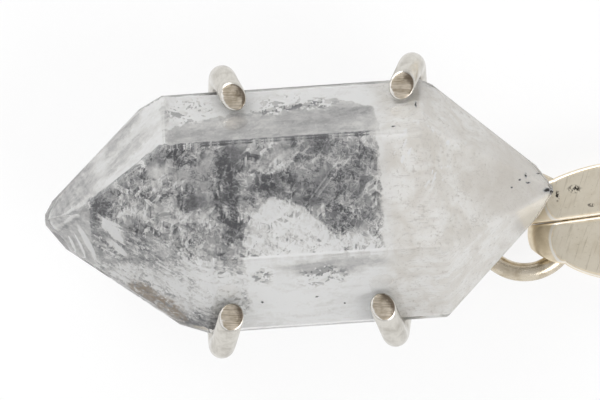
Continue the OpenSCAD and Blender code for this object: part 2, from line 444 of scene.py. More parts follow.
def silver_material(name, colour, stained, roughness, grain, turn=0.0, wear=1.0):
    """Silver with rubbed lines, soft stains and small dents; grain is how close the lines lie each way."""
    s = Shader(name)
    point = s.coordinates()
    lines = s.noise(s.coordinates(turn, grain), 1.6, detail=6)
    stains = s.noise(point, 1.3, detail=6, distortion=0.4)
    dents = s.noise(point, 2.6, detail=3, roughness=0.5)
    tone = s.tint(colour, stained, s.remap(stains, 0.38, 0.75), weight=wear)
    tone = s.tint(tone, stained, s.remap(lines, 0.5, 0.75), weight=0.3 * wear)
    rough = s.remap(lines, 0.3, 0.7, roughness * 0.75, roughness * 1.35)
    relief = s.total(0.0, [(lines, 0.6), (dents, 2.5)])
    return s.principled(Base_Color=tone, Metallic=1.0, Roughness=rough,
                        Normal=s.bump(relief, distance=0.004, strength=0.7 * wear))


def tip_material():
    """Filed claw tip: level file lines, painted shade towards the right and a painted highlight at the left rim.
    """
    s = Shader("filed_tips")
    lines = s.noise(s.coordinates(TIP_FILING, ALONG_FILE), 2.6, detail=3)
    blots = s.noise(s.coordinates(), 2.2, detail=5)
    normal = s.add("ShaderNodeTexCoord", {}, "Normal")
    lean = s.total(s.axis(normal, 0), [(s.axis(normal, 1), 0.5), (s.centred(blots), 0.3)])
    tone = s.mix(s.remap(blots, 0.4, 0.65), TIP_LIGHT, TIP_DULL)
    tone = s.tint(tone, TIP_LINES, s.remap(lines, 0.45, 0.62), weight=0.6)
    # painted shade on the side turned from the light, then a painted highlight on the left rim
    tone = s.tint(tone, TIP_PAINTED_SHADE, s.remap(lean, 0.04, 0.16), weight=0.8)
    tone = s.mix(s.remap(lean, -0.15, -0.2), tone, TIP_PAINTED_HIGHLIGHT)
    return s.principled(Base_Color=tone, Metallic=1.0, Roughness=s.remap(lines, 0.3, 0.7, 0.25, 0.5),
                        Normal=s.bump(lines, distance=0.012, strength=0.6))


def link_material(centre, filed_z):
    """Link filed flat above and below, with a painted highlight along the edge of each flat, warmer in its bends.
    """
    s = Shader("filed_links")
    point = s.coordinates()
    height = s.math("ABSOLUTE", s.math("SUBTRACT", s.axis(point, 2), centre.z))
    depth = s.math("SUBTRACT", filed_z, height)
    flat = s.remap(depth, 0.012, 0.002)
    rim = s.times(s.remap(depth, 0.015, 0.03), s.remap(depth, 0.1, 0.06))
    scratches = s.noise(s.coordinates(SCRATCHING, ALONG_SCRATCH), 1.5, detail=5, roughness=0.65)
    pits = s.noise(point, 5.5, roughness=0.7)
    stains = s.noise(point, 1.1, detail=6, roughness=0.65, distortion=0.5)
    filed = s.tint(FILED_LIGHT, FILED_STAIN, s.remap(stains, 0.4, 0.75), weight=0.5)
    filed = s.tint(filed, FILED_SCRATCH, s.remap(scratches, 0.55, 0.7), weight=0.4)
    filed = s.tint(filed, FILED_PIT, s.remap(pits, 0.6, 0.72), weight=0.5)
    bends = s.mix(s.remap(stains, 0.35, 0.7), BEND_LIGHT, BEND_STAIN)
    # painted highlight on the band between each flat and its bend
    colour = s.mix(flat, s.mix(rim, bends, PAINTED_RIM_HIGHLIGHT), filed)
    dirt = s.most([s.oval(point, place, radii) for place, radii in LINK_DIRT])
    dirt = s.times(dirt, s.remap(pits, 0.46, 0.54))
    colour = s.mix(dirt, colour, DIRT)
    rough = s.total(s.remap(flat, 0, 1, 0.34, 0.42), [(dirt, 0.3)])
    relief = s.total(scratches, [(pits, 0.6)])
    return s.principled(Base_Color=colour, Metallic=1.0, Roughness=rough,
                        Normal=s.bump(relief, distance=0.008, strength=0.6))


def crystal_frame(point):
    """Point on the table from one along the crystal."""
    return Matrix.Rotation(CRYSTAL_TURN, 3, "Z") @ Vector(point)


def crystal_planes():
    """Outer faces of the crystal along its axis, as (outward normal, distance from its middle)."""
    source = bmesh.new()
    source.from_mesh(frame["nodes"]["crystal"].data)
    bmesh.ops.remove_doubles(source, verts=source.verts, dist=1e-6)
    bmesh.ops.dissolve_limit(source, angle_limit=math.radians(1), verts=source.verts, edges=source.edges)
    back = Matrix.Rotation(-CRYSTAL_TURN, 3, "Z")
    axis = Vector((0, 0, AXIS_Z))
    planes = []
    for face in source.faces:
        normal = back @ face.normal
        middle = back @ (face.calc_center_median() / MM) - axis
        if middle.dot(normal) >= 0:
            planes.append((normal, middle.dot(normal)))
    source.free()
    return planes


def side_index(normal):
    """Number of a face round the crystal's axis, from the front."""
    return round(math.degrees(math.atan2(normal.y, normal.z)) / SIDE_STEP) % CRYSTAL_SIDES


PLANES = crystal_planes()
PRISM = {side_index(normal): far for normal, far in PLANES if abs(normal.x) < PRISM_LEAN}


def corner(i, out):
    """Corner of the prism's hexagon after face i, moved out, as (y, z) from the axis."""
    step_turn = math.radians(SIDE_STEP)
    near, far = PRISM[i % CRYSTAL_SIDES] + out, PRISM[(i + 1) % CRYSTAL_SIDES] + out
    normal = Vector((math.sin(step_turn * i), math.cos(step_turn * i)))
    along = Vector((math.cos(step_turn * i), -math.sin(step_turn * i)))
    return normal * near + along * (far - near * math.cos(step_turn)) / math.sin(step_turn)


def rounded(points, radius, steps=14):
    """Route with a round bend at each inner point."""
    route = [points[0]]
    for a, b, c in zip(points, points[1:], points[2:]):
        into, out = (b - a).normalized(), (c - b).normalized()
        turn = into.angle(out)
        inward = (out - into * into.dot(out)).normalized()
        start = b - into * radius * math.tan(turn / 2)
        for k in range(steps + 1):
            t = turn * k / steps
            route.append(start + radius * (into * math.sin(t) + inward * (1 - math.cos(t))))
    return route + [points[-1]]


def claw_route(places):
    """Centre line of a claw wire from its upper tip round the back to its lower tip."""
    out = CLAW_R + CLAW_GAP

    def at(x, yz):
        return crystal_frame((x, yz.x, yz.y + AXIS_Z))

    def beyond(a, b, length):
        return corner(a, out) + length * (corner(b, out) - corner(a, out)).normalized()

    points = [at(places[0], beyond(1, 0, UPPER_CLAW))]
    points += [at(x, corner(i, out)) for i, x in zip((1, 2, 3, 4), places[1:5])]
    points.append(at(places[5], beyond(4, 5, LOWER_CLAW)))
    return rounded(points, CLAW_BEND)


def make_claw(name, places, wire, filed):
    """Bent claw wire with level filed tips and rounded rims."""
    sides = 48
    route = claw_route(places)
    points, along = tube(route, CLAW_R, sides)
    rings = len(route)
    faces = skin(rings, sides, False)
    filed_faces = []
    for ring, outward in ((0, -1), (rings - 1, 1)):
        first = ring * sides
        tip, direction = route[ring], along[ring]
        for s in range(sides):
            out = points[first + s] - tip
            points[first + s] = tip + out - direction * (out.z / direction.z + outward * TIP_DROP)
        start = len(points)
        for share, rim_drop in TIP_RINGS:
            drop = TIP_DROP * (rim_drop + TIP_DOME * share ** 2)
            for s in range(sides):
                rim = points[first + s] + outward * direction * TIP_DROP
                points.append(tip + (rim - tip) * share - outward * direction * drop)
        order = [first] + [start + k * sides for k in range(len(TIP_RINGS))]
        for k, (a, b) in enumerate(zip(order, order[1:])):
            if k > 1:
                filed_faces += range(len(faces), len(faces) + sides)
            faces += band(a, b, sides)
        filed_faces.append(len(faces))
        faces.append([order[-1] + s for s in range(sides)])
    piece = mesh_piece(name + "_wire", points, faces, [wire, filed])
    for k in filed_faces:
        piece.data.polygons[k].material_index = 1
    finish_piece(piece, "setting", [name])


def bar_point(places, move):
    """Point of the bar's axis, moved along it from where a claw wire's back run crosses it."""
    out = CLAW_R + CLAW_GAP
    top, bottom = corner(2, out).x, corner(3, out).x
    cross = places[3] + (places[2] - places[3]) * (BAR_Y - bottom) / (top - bottom)
    return crystal_frame((cross + move, BAR_Y, CLAW_R))


def make_rod(name, start, end, radius, flare, material, replaced=()):
    """Round rod of the setting, whose ends flare into solder."""
    steps = 40
    sides = 32
    path = [start.lerp(end, i / steps) for i in range(steps + 1)]
    points = tube(path, 1.0, sides)[0]
    length = (end - start).length
    for i in range(steps + 1):
        to_end = min(i, steps - i) / steps * length
        wide = radius + flare * math.exp(-to_end / FLARE_LENGTH)
        for k in range(i * sides, (i + 1) * sides):
            points[k] = path[i] + (points[k] - path[i]) * wide
    faces = skin(steps + 1, sides, False)
    faces += [list(range(sides))[::-1], [steps * sides + s for s in range(sides)]]
    finish_piece(mesh_piece(name, points, faces, [material]), "setting", replaced)


def make_ring(name, node, body, material):
    """Plain level ring in the place of its node."""
    points, faces = torus(box_centre(node), (0, 0, 1), RING_R, RING_WIRE_R)
    finish_piece(mesh_piece(name, points, faces, [material]), body, [node])


def make_eye(name, joint, body, material, node):
    """Standing loop across a joint's axis."""
    points, faces = torus(place_of(joint), JOINTS[joint]["axis"], EYE_R, EYE_WIRE_R, 96, 32)
    finish_piece(mesh_piece(name, points, faces, [material]), body, [node])


def strip_section(width, flat_steps=18, round_steps=8):
    """Points round a strip's section as (across, up): round edges and a crowned outer face."""
    points = []
    half_w, half_t = width / 2 - STRIP_ROUND, STRIP_THICKNESS / 2 - STRIP_ROUND
    for turn, (x, y) in enumerate(((1, 1), (-1, 1), (-1, -1), (1, -1))):
        for k in range(round_steps):
            a = math.pi / 2 * (turn + k / (round_steps - 1))
            points.append((x * half_w + STRIP_ROUND * math.cos(a), y * half_t + STRIP_ROUND * math.sin(a)))
        if turn % 2 == 0:
            points += [(x * half_w * (1 - 2 * k / flat_steps), points[-1][1]) for k in range(1, flat_steps)]
    return [(x, y - STRIP_CROWN * (2 * x / width) ** 2 if y > 0 else y) for x, y in points]


def link_stations(widest):
    """Round a link's loop: place along, height, outward direction along and up, and width."""
    rise = RING_WIRE_R + STRIP_THICKNESS / 2 + STRIP_GAP
    run = (LINK_LENGTH - STRIP_THICKNESS) / 2 - rise
    run_steps, turn_steps = 64, 40
    stations = []
    for side in (1, -1):
        for k in range(run_steps):
            x = run * (2 * k / run_steps - 1)
            fullness = math.cos(math.pi / 2 * x / run) ** RUN_FULLNESS
            wide = SHOULDER_WIDTH + (widest - SHOULDER_WIDTH) * fullness
            stations.append((side * x, side * rise, 0, side, wide))
        for k in range(turn_steps):
            a = math.pi * k / turn_steps
            wide = NECK_WIDTH + (SHOULDER_WIDTH - NECK_WIDTH) * math.cos(a) ** 2
            stations.append((side * (run + rise * math.sin(a)), side * rise * math.cos(a),
                             side * math.sin(a), side * math.cos(a), wide))
    return stations


def link_frame():
    """Middle of the pair of links and their turn about Z."""
    start, end = place_of("link_swing"), place_of("pin_ring_swing")
    return (start + end) / 2, Matrix.Rotation(math.atan2(end.y - start.y, end.x - start.x), 3, "Z")


def filed_level():
    """Height of a link's filed flat above its middle."""
    return link_stations(SHOULDER_WIDTH)[0][1] + STRIP_THICKNESS / 2 - FILE_CUT


def make_link(name, node, widest, hand, material):
    """Upright loop of filed strip; hand is 1 for the upper link and -1 for the lower one."""
    centre, spin = link_frame()
    stations = link_stations(widest)
    filed_z = filed_level()
    points = []
    for x, z, out_x, out_z, wide in stations:
        section = strip_section(wide)
        for across, up in section:
            y = hand * (PAIR_GAP / 2 + wide / 2 + across)
            level = max(-filed_z, min(filed_z, z + out_z * up))
            points.append(spin @ Vector((x + out_x * up, y, level)) + centre)
    piece = mesh_piece(name, points, skin(len(stations), len(section), True), [material])
    for polygon in piece.data.polygons:
        polygon.use_smooth = abs(polygon.normal.z) < FLAT_NORMAL
    finish_piece(piece, "links", [node])


def make_pin(material):
    """Two-legged pin: one wire bent round the crown, with rounded tips."""
    leg = MOUNTS["near_leg"]
    along = Vector(leg["axis"])
    radius, length = leg["dims"]["r_mm"] * PIN_SHARE, leg["dims"]["length_mm"]
    near, far = (Vector(MOUNTS[n]["pos_m"]) / MM for n in ("near_leg", "far_leg"))
    half = (near - far).length / 2
    across = (near - far).normalized()
    middle = (near + far) / 2 - along * length / 2
    path = [near + along * length * (0.5 - k / LEG_STEPS) for k in range(LEG_STEPS)]
    for k in range(CROWN_STEPS + 1):
        t = math.pi * k / CROWN_STEPS
        path.append(middle + half * (across * math.cos(t) - along * math.sin(t)))
    path += [far + along * length * ((k + 1) / LEG_STEPS - 0.5) for k in range(LEG_STEPS)]
    sides = 32
    points, direction = tube(path, radius, sides)
    faces = skin(len(path), sides, False)
    for first, tip, out in ((0, path[0], -direction[0]), ((len(path) - 1) * sides, path[-1], direction[-1])):
        base = [points[first + s] - tip for s in range(sides)]
        last = first
        for k in range(1, PIN_TIP_STEPS):
            t = math.pi / 2 * k / PIN_TIP_STEPS
            start = len(points)
            points += [tip + b * math.cos(t) + out * radius * math.sin(t) for b in base]
            faces += band(last, start, sides)
            last = start
        faces.append([last + s for s in range(sides)])
    finish_piece(mesh_piece("pin_wire", points, faces, [material]), "pin", ["hair_pin"])


def make_silver():
    claw = silver_material("claw_silver", CLAW_SILVER, CLAW_STAIN, 0.2, ALONG_CLAW, wear=0.7)
    rod = silver_material("rod_silver", WARM_SILVER, WARM_STAIN, 0.26, ALONG_ROD)
    wire = silver_material("ring_silver", WARM_SILVER, WARM_STAIN, 0.26, ALONG_RING)
    heading = Vector(MOUNTS["near_leg"]["axis"])
    pin_turn = math.atan2(heading.y, heading.x)
    leg = silver_material("pin_silver", WARM_SILVER, WARM_STAIN, 0.18, ALONG_ROD, pin_turn, wear=0.45)
    tip_file = tip_material()
    make_claw("claw_wire_left", CLAW_LEFT_X, claw, tip_file)
    make_claw("claw_wire_right", CLAW_RIGHT_X, claw, tip_file)

    sink = CLAW_R - SOLDER
    bar_start, bar_end = bar_point(CLAW_LEFT_X, sink), bar_point(CLAW_RIGHT_X, -sink)
    make_rod("back_rod", bar_start, bar_end, BAR_R, 0.0, rod, ["back_bar"])
    eye = place_of("jump_ring_flap")
    stem_start = bar_point(CLAW_RIGHT_X, sink)
    stem_end = Vector((eye.x, eye.y, CLAW_R)) - crystal_frame((1, 0, 0)) * (EYE_R - STEM_OVERLAP)
    make_rod("eye_stem", stem_start, stem_end, EYE_WIRE_R, STEM_FLARE, rod)
    make_eye("hanging_loop", "jump_ring_flap", "setting", wire, "hanging_eye")

    make_ring("jump_ring_wire", "jump_ring", "jump_ring", wire)
    links = link_material(link_frame()[0], filed_level())
    make_link("lower_loop", "lower_link", LOWER_LINK_WIDTH, -1, links)
    make_link("upper_loop", "upper_link", UPPER_LINK_WIDTH, 1, links)
    make_ring("pin_ring_wire", "pin_ring", "pin_ring", wire)
    make_eye("pin_loop", "pin_flap", "pin", wire, "pin_eye")
    make_pin(leg)


# Crystal's clear shell
QUARTZ_IOR = 1.544
EDGE_WIDTH = 0.04
CLEAR = (1, 1, 1, 1)
SPECK = srgb(38, 36, 34)
FROST = 0.14  # roughness of the skin at the milky end
ALONG_RIPPLE = (0.4, 3.0, 3.0)
# Dark specks on the crystal, along and across its axis: place, radii
SPECKS = (((14.5, 0.1), (0.22, 0.12)), ((14.75, -0.05), (0.1, 0.16)), ((13.3, 1.05), (0.07, 0.14)),
          ((12.9, 0.8), (0.06, 0.05)), ((13.4, 0.6), (0.12, 0.05)), ((14.1, 1.1), (0.14, 0.03)),
          ((12.4, 0.4), (0.06, 0.06)), ((7.1, 5.6), (0.05, 0.16)), ((5.7, 4.4), (0.12, 0.04)),
          ((-2.6, -5.3), (0.08, 0.07)), ((0.6, -5.2), (0.1, 0.03)), ((2.2, -5.7), (0.05, 0.05)))

# Crystal's heart: its parts, as areas and places along and across the axis, and their tones
BROKEN_FRONT = ((-7.8, 4.1), (7.0, 4.1), (7.0, -2.6), (-11.6, -2.6), (-12.2, -2.0), (-12.2, 1.1))
BROKEN_CORNER = ((-12.0, -2.3), (-3.5, -2.3), (-3.2, -5.6), (-5.3, -7.2), (-9.2, -5.4), (-11.6, -3.6))
BROKEN_TO = 4.7
MILKY_FROM = 4.9
MILKY_FADE = 2.0  # over which the skin turns dull
TIP_END = -11.9
FRONT_TONE = 0.44
CORNER_TONE = 0.6
CLOUD_TONE = 0.98
TIP_TONE = 0.54
# Zones that are darker or lighter than what is round them: place, radii, turn in degrees, change of tone
ZONES = (
    # dark clouds of the left half: broken quartz with painted dark reflections
    ((-3.8, 2.8), (0.9, 1.1), 0, -0.3),
    ((-4.2, 0.3), (0.7, 1.4), 0, -0.44),
    ((-2.9, 0.6), (0.4, 0.8), 0, -0.2),
    ((-6.4, 0.9), (0.8, 0.45), -10, -0.26),
    ((-6.9, 3.3), (1.1, 0.6), 0, -0.2),
    ((-3.7, -1.1), (1.0, 0.55), 20, -0.2),
    ((-11.4, 1.2), (0.6, 0.5), 40, -0.26),
    ((-8.2, 3.3), (0.5, 0.4), 0, -0.22),
    ((-9.7, -0.8), (0.6, 0.8), -40, -0.2),
    ((-9.6, -4.2), (1.0, 0.5), -35, -0.3),
    ((-6.2, -6.1), (1.4, 0.75), -20, -0.4),
    ((-8.4, -4.6), (1.3, 0.3), -36, -0.14),
    # dark clouds of the right half: broken quartz with painted dark reflections
    ((-1.4, 1.6), (1.1, 0.8), 0, -0.4),
    ((0.8, 2.9), (1.8, 1.1), -20, -0.13),
    ((0.4, 0.9), (0.9, 0.7), 0, -0.2),
    ((2.2, 0.9), (1.7, 1.0), 0, -0.15),
    ((2.6, -0.7), (1.8, 0.8), 0, -0.2),
    ((3.8, 2.4), (1.0, 1.3), 0, -0.12),
    # light places
    ((-5.9, -4.1), (2.7, 1.3), -14, 0.34),
    ((-6.2, 0.0), (0.9, 0.3), -10, 0.22),
    ((-7.8, 2.7), (0.5, 0.6), 0, 0.2),
    # painted glint
    ((-4.3, 0.3), (0.2, 0.35), 0, 0.4),
    ((-10.7, -0.4), (0.8, 0.4), -40, 0.2),
    ((-9.1, -3.3), (0.35, 0.15), 0, 0.4),
    ((-10.1, -3.0), (0.8, 0.5), -30, 0.15),
    ((3.4, -2.1), (1.6, 0.5), -5, 0.34),
    # lower strip
    ((1.8, -3.2), (3.2, 0.6), 2, -0.36),
    ((1.5, -3.9), (1.6, 0.5), 0, -0.16),
    ((-2.6, -3.6), (0.6, 0.4), 20, -0.3),
    ((-3.2, -4.7), (0.4, 0.35), 0, -0.24),
    # upper strip and upper left end
    ((1.6, 5.2), (2.7, 0.6), 8, -0.1),
    ((-6.5, 4.8), (1.3, 0.35), 0, -0.08),
    # painted shadow of an edge
    ((-7.5, 6.0), (0.2, 0.8), 0, -0.24),
    ((-9.9, 5.1), (1.9, 0.28), 49, -0.3),
    ((-10.4, 4.4), (3.2, 0.9), 42, -0.12),
    ((-9.8, 3.8), (2.6, 0.35), 40, -0.26),
    # ridge of the left tip
    ((-13.2, 0.65), (1.7, 0.16), 30, 0.25),
    ((-13.1, 0.3), (1.6, 0.1), 30, -0.16),
)
# Flat breaks with sharp edges: corners, change of tone
BREAKS = (
    (((-1.7, 0.8), (0.0, 0.2), (1.3, -1.0), (2.5, -2.3), (2.3, -2.7), (-2.5, -2.7), (-3.5, -1.9),
      (-3.3, -0.8)), 0.44),
    (((-2.2, 2.1), (-1.1, 3.2), (0.5, 4.0), (-0.2, 2.8), (-0.9, 2.2)), 0.3),
    # lower half of the upper strip: painted shade, where the tilted face shows a darker view
    (((-7.6, 5.0), (-5.5, 5.4), (2.3, 6.2), (4.5, 5.6), (4.9, 4.5), (4.9, 4.0), (-7.6, 4.0)), -0.4),
)
# Straight hair cracks and white streaks: place, half length and width, turn in degrees
HAIR_CRACKS = (((1.5, 1.6), (1.8, 0.05), 50), ((1.8, 1.5), (1.3, 0.04), 50), ((-3.3, 2.1), (0.45, 0.05), -51),
               ((-3.0, -2.6), (0.6, 0.05), -20), ((-4.8, -4.9), (0.9, 0.08), -38))
STREAKS = (((-10.9, -0.4), (0.8, 0.24), -46), ((-10.7, -1.35), (0.7, 0.2), -45),
           ((-12.5, -1.0), (1.1, 0.15), -66), ((-13.4, -1.0), (0.45, 0.08), -66),
           ((-12.9, -1.2), (0.8, 0.05), -66))
LINE_EDGE = 0.6  # softness of the cracks' and streaks' edges
# Parts with white veins, with glitter, with few splinters and with glints: place, radii
VEINED = ((2.6, -0.8), (1.8, 0.9))
GLITTERING = (((1.1, -3.9), (1.4, 0.6)), ((-0.2, 6.0), (2.4, 0.5)), ((-6.1, 6.0), (1.3, 0.6)),
              ((-2.5, -3.7), (0.7, 0.5)))
CALM = ((1.9, 1.9), (2.6, 1.5))
GLINTING = ((7.6, 2.6), (2.2, 1.8))
# Stained, painted-shade and duller places: place, radii, turn in degrees
STAINS = (((-8.0, -5.1), (1.1, 0.5), -34), ((-9.4, -4.1), (0.9, 0.5), -36))
# painted shade on the lower face by the right tip
PAINTED_SHADE_BY_TIP = ((13.7, -1.4), (1.2, 0.45), 22)
DULL_END = ((12.6, 0.9), (2.6, 2.4))
# Directions of the splinters and of the glints: turn in degrees, times longer than wide, closeness
SPLINTERS = ((38, 4.0, 5.0), (-28, 4.5, 4.0), (84, 3.5, 8.0))
GLINTS = (62, 3.0, 7.0)
TIP_LINE_TURN = -1.1  # radians from the crystal's axis to the lines of its left tip
ALONG_TIP_LINE = (0.25, 4.0, 1.0)
ALONG_SMEAR = (0.35, 1.2, 1.0)
ALONG_DASH = (0.5, 2.5, 2.5)
WANDER = 9.0  # that the zones' borders stray on the faces underneath
# Heart's greys by tone, and its other colours
GREYS = ((0.0, srgb(76, 76, 79)), (0.25, srgb(137, 137, 138)), (0.5, srgb(192, 191, 190)),
         (0.75, srgb(232, 231, 228)), (1.0, srgb(254, 254, 253)))
RUST = srgb(134, 108, 68)
MILK_DULL = srgb(234, 230, 223)
MILK_WHITE = srgb(255, 254, 251)
MILK_DASH = srgb(206, 203, 198)
MILK_PIT = srgb(198, 194, 187)
MILK_CREASE = srgb(200, 196, 188)
# grey of the painted shade by the right tip
MILK_PAINTED_SHADE = srgb(178, 174, 167)
MILK_END = srgb(224, 219, 211)
HEART_ROUGHNESS = 0.35
HEART_IOR = 1.45

# Heart's relief
NOISE_SEED = 1  # so that the broken parts splinter alike in each run
LEFT_GROWTH = 0.33  # that the heart grows towards the crystal's ends
RIGHT_GROWTH = 0.13
END_LEAN = (0.3, 0.5)  # share of a face's normal along the axis from which it counts as an end
HEART_VOXEL = 0.17
SINK = 0.7  # depth of a dark zone for each unit of its tone
BREAK_DEPTH = 0.1
BREAK_EDGE = (0.05, 0.6)  # distances inside a broken part over which its relief sets in
STRAY = 0.35  # that a broken part's border strays
STRAY_CLOSENESS = 1.1
SHARDS = ((0.16, 0.9), (0.08, 2.1))  # height, closeness
TILT_CLOSENESS = 7.3  # so large that neighbouring shards tilt differently
SHARD_LIFT = 0.25  # share of its tilt that lifts a shard
CRINKLE = 0.08
CRINKLE_CLOSENESS = 2.0
CRINKLE_OCTAVES = (0.8, 2.1, 5)  # how fast the octaves fade, step between them, count


def cut_block(planes, size=40.0):
    """Closed mesh, along the crystal's axis, of all that lies under the planes (normal, distance)."""
    block = bmesh.new()
    bmesh.ops.create_cube(block, size=size)
    for normal, far in planes:
        geometry = block.verts[:] + block.edges[:] + block.faces[:]
        cut = bmesh.ops.bisect_plane(block, geom=geometry, plane_co=normal * far, plane_no=normal,
                                     clear_outer=True)
        edges = [e for e in cut["geom_cut"] if isinstance(e, bmesh.types.BMEdge)]
        if edges:
            bmesh.ops.contextual_create(block, geom=edges)
    bmesh.ops.recalc_face_normals(block, faces=block.faces)
    return block


def set_on_table(block):
    """Turns and lifts a mesh made along the crystal's axis to its place, in metres."""
    lift = Matrix.Translation((0, 0, AXIS_Z * MM))
    bmesh.ops.transform(block, matrix=Matrix.Rotation(CRYSTAL_TURN, 4, "Z") @ lift @ Matrix.Scale(MM, 4),
                        verts=block.verts)


def frosting(shader, point):
    """Roughness of the crystal's skin, which is dull at the milky end."""
    return shader.remap(shader.axis(point, 0), MILKY_FROM, MILKY_FROM + MILKY_FADE, 0.0, FROST)


def shell_material():
    """Clear quartz with faint ripples and a few dark specks."""
    s = Shader("clear_quartz")
    point = s.coordinates(CRYSTAL_TURN)
    ripple = s.noise(s.coordinates(CRYSTAL_TURN, ALONG_RIPPLE), 1.2)
    torn = s.warp(point, 5.0, reach=0.16)
    specks = s.most([s.oval(torn, *speck) for speck in SPECKS])
    return s.principled(Base_Color=s.mix(specks, CLEAR, SPECK), IOR=QUARTZ_IOR,
                        Roughness=s.math("MAXIMUM", specks, frosting(s, point)),
                        Normal=s.bump(ripple, distance=0.006, strength=0.5),
                        Transmission_Weight=s.math("SUBTRACT", 1.0, specks))


def edge_material():
    """Edges between the faces, rubbed a little."""
    s = Shader("rubbed_edges")
    point = s.coordinates(CRYSTAL_TURN)
    chips = s.noise(point, 1.4, detail=6, roughness=0.7, distortion=0.4)
    chips = s.remap(chips, 0.4, 0.65, 0.0, 0.2)
    return s.principled(Base_Color=CLEAR, Roughness=s.math("MAXIMUM", chips, frosting(s, point)),
                        IOR=QUARTZ_IOR, Transmission_Weight=1.0)


def make_shell():
    """Clear outside of the crystal, with its edges rubbed."""
    block = cut_block(PLANES)
    rim = bmesh.ops.bevel(block, geom=block.edges[:], offset=EDGE_WIDTH, segments=3, profile=0.6,
                          affect="EDGES", clamp_overlap=True)
    for face in rim["faces"]:
        face.material_index = 1
    set_on_table(block)
    piece = bmesh_piece("crystal_shell", block, [shell_material(), edge_material()], False)
    finish_piece(piece, "setting", ["crystal"])


class HeartShader(Shader):
    """Shader of the crystal's heart, with places in the crystal's own directions and shared noises."""

    def __init__(self, name):
        super().__init__(name)
        self.point = self.coordinates(CRYSTAL_TURN)
        low = self.remap(self.axis(self.point, 2), AXIS_Z, 0.0, 0.0, WANDER)
        strayed = self.warp(self.point, 0.35, reach=low, roughness=0.5)
        self.flat = self.vector("MULTIPLY", strayed, (1, 1, 0))
        self.ragged = self.warp(self.flat, 0.7, reach=1.0)
        self.ragged = self.warp(self.ragged, 3.0, reach=0.5, detail=6.0)
        self.crisp = self.warp(self.flat, 1.6, reach=0.6, detail=7.0)
        self.mixed_up = self.warp(self.point, 1.3, reach=1.1, detail=6.0)
        self.along = self.axis(self.warp(self.flat, 1.6, reach=0.9, detail=6.0), 0)
        self.clouds = self.noise(self.point, 0.7, detail=6, distortion=0.8)
        self.wisps = self.noise(self.mixed_up, 1.8, detail=6, roughness=0.65, distortion=0.5)

    def area(self, vector, corners, soft):
        """One inside a convex area and nought outside it."""
        near = None
        for (ax, ay), (bx, by) in zip(corners, corners[1:] + corners[:1]):
            length = math.hypot(bx - ax, by - ay)
            normal = ((by - ay) / length, (ax - bx) / length, 0)
            start = self.vector("SUBTRACT", vector, (ax, ay, 0))
            side = self.vector("DOT_PRODUCT", start, normal, "Value")
            near = side if near is None else self.math("MINIMUM", near, side)
        return self.remap(near, -soft, soft)

    def cells(self, vector, scale):
        """Random number of each cell of a cell pattern."""
        colour = self.add("ShaderNodeTexVoronoi", {"Vector": vector, "Scale": scale}, "Color")
        return self.add("ShaderNodeSeparateColor", {"Color": colour})

    def splinters(self, turn, longer, closeness):
        """Random number of each long thin cell that lies along a direction."""
        point = self.coordinates(CRYSTAL_TURN + math.radians(turn), (1 / longer, 1, 0.6))
        return self.cells(self.warp(point, 2.0, reach=0.25), closeness)

    def creases(self, vector, scale, width, move=0.0):
        """One along thin winding lines and nought elsewhere; move gives another set of lines."""
        moved = self.vector("ADD", vector, (move,) * 3)
        level = self.centred(self.noise(moved, scale, detail=3, roughness=0.55, distortion=0.5))
        return self.remap(self.math("ABSOLUTE", level), width, 0.0)


def splinter_reflection_tone(s):
    """Splinters in all their directions, as painted glints and painted dark reflections."""
    light, dark = [], []
    for splinter in SPLINTERS:
        number = s.splinters(*splinter)
        light.append(s.remap(number, 0.84, 0.88))
        dark.append(s.remap(number, 0.16, 0.12))
    return s.total(0.0, [(s.most(light), 0.4), (s.most(dark), -0.3)])


def vein_tone(s):
    """White veins, close together in some places."""
    veins = s.most([s.creases(s.mixed_up, 0.9, 0.03), s.creases(s.point, 1.7, 0.035, move=9.0)])
    places = s.noise(s.point, 0.5, detail=3, roughness=0.5, distortion=0.3)
    places = s.remap(places, 0.42, 0.55, 0.25, 1.0)
    places = s.math("MAXIMUM", places, s.oval(s.ragged, *VEINED))
    return s.times(veins, places)


def crack_tone(s):
    """Dark cracks, in some places only."""
    cracks = s.most([s.creases(s.mixed_up, 1.1, 0.035, move=4.0), s.creases(s.point, 2.2, 0.04, move=15.0)])
    places = s.noise(s.point, 0.75, detail=3, roughness=0.5, distortion=0.3)
    return s.times(cracks, s.remap(places, 0.46, 0.56))


def soft_tone(s):
    """Zones, breaks, streaks and clouds that all of the heart shares."""
    zones = s.total(0.0, [(s.oval(s.ragged, *zone[:3]), zone[3]) for zone in ZONES])
    zones = s.total(zones, [(s.area(s.crisp, corners, 0.06), change) for corners, change in BREAKS])
    bent = s.warp(s.flat, 2.0, reach=0.15)
    hairs = s.most([s.oval(bent, *crack, LINE_EDGE) for crack in HAIR_CRACKS])
    streaks = s.most([s.oval(bent, *streak, LINE_EDGE) for streak in STREAKS])
    return s.total(zones, [(s.centred(s.clouds), 0.4), (s.centred(s.wisps), 0.3),
                           (streaks, 0.65), (hairs, 0.2)])


def broken_tone(s, soft, splinters, shards, corner_part):
    """Tone of the broken parts, with gathered splinters of painted glints and dark reflections, shards, veins and
    cracks.
    """
    gathered = s.noise(s.point, 0.6, distortion=0.4)
    gathered = s.remap(gathered, 0.42, 0.6, 0.1, 1.0)
    calm = s.remap(s.oval(s.ragged, *CALM), 0, 1, 1, 0.3)
    gathered = s.math("MAXIMUM", s.times(gathered, calm), s.times(corner_part, 0.6))
    base = s.remap(corner_part, 0.3, 0.7, FRONT_TONE, CORNER_TONE)
    return s.total(soft, [(s.times(splinters, gathered), 1.0), (shards, 0.2), (s.centred(s.wisps), 0.3),
                          (vein_tone(s), 0.3), (crack_tone(s), -0.28), (base, 1.0)])


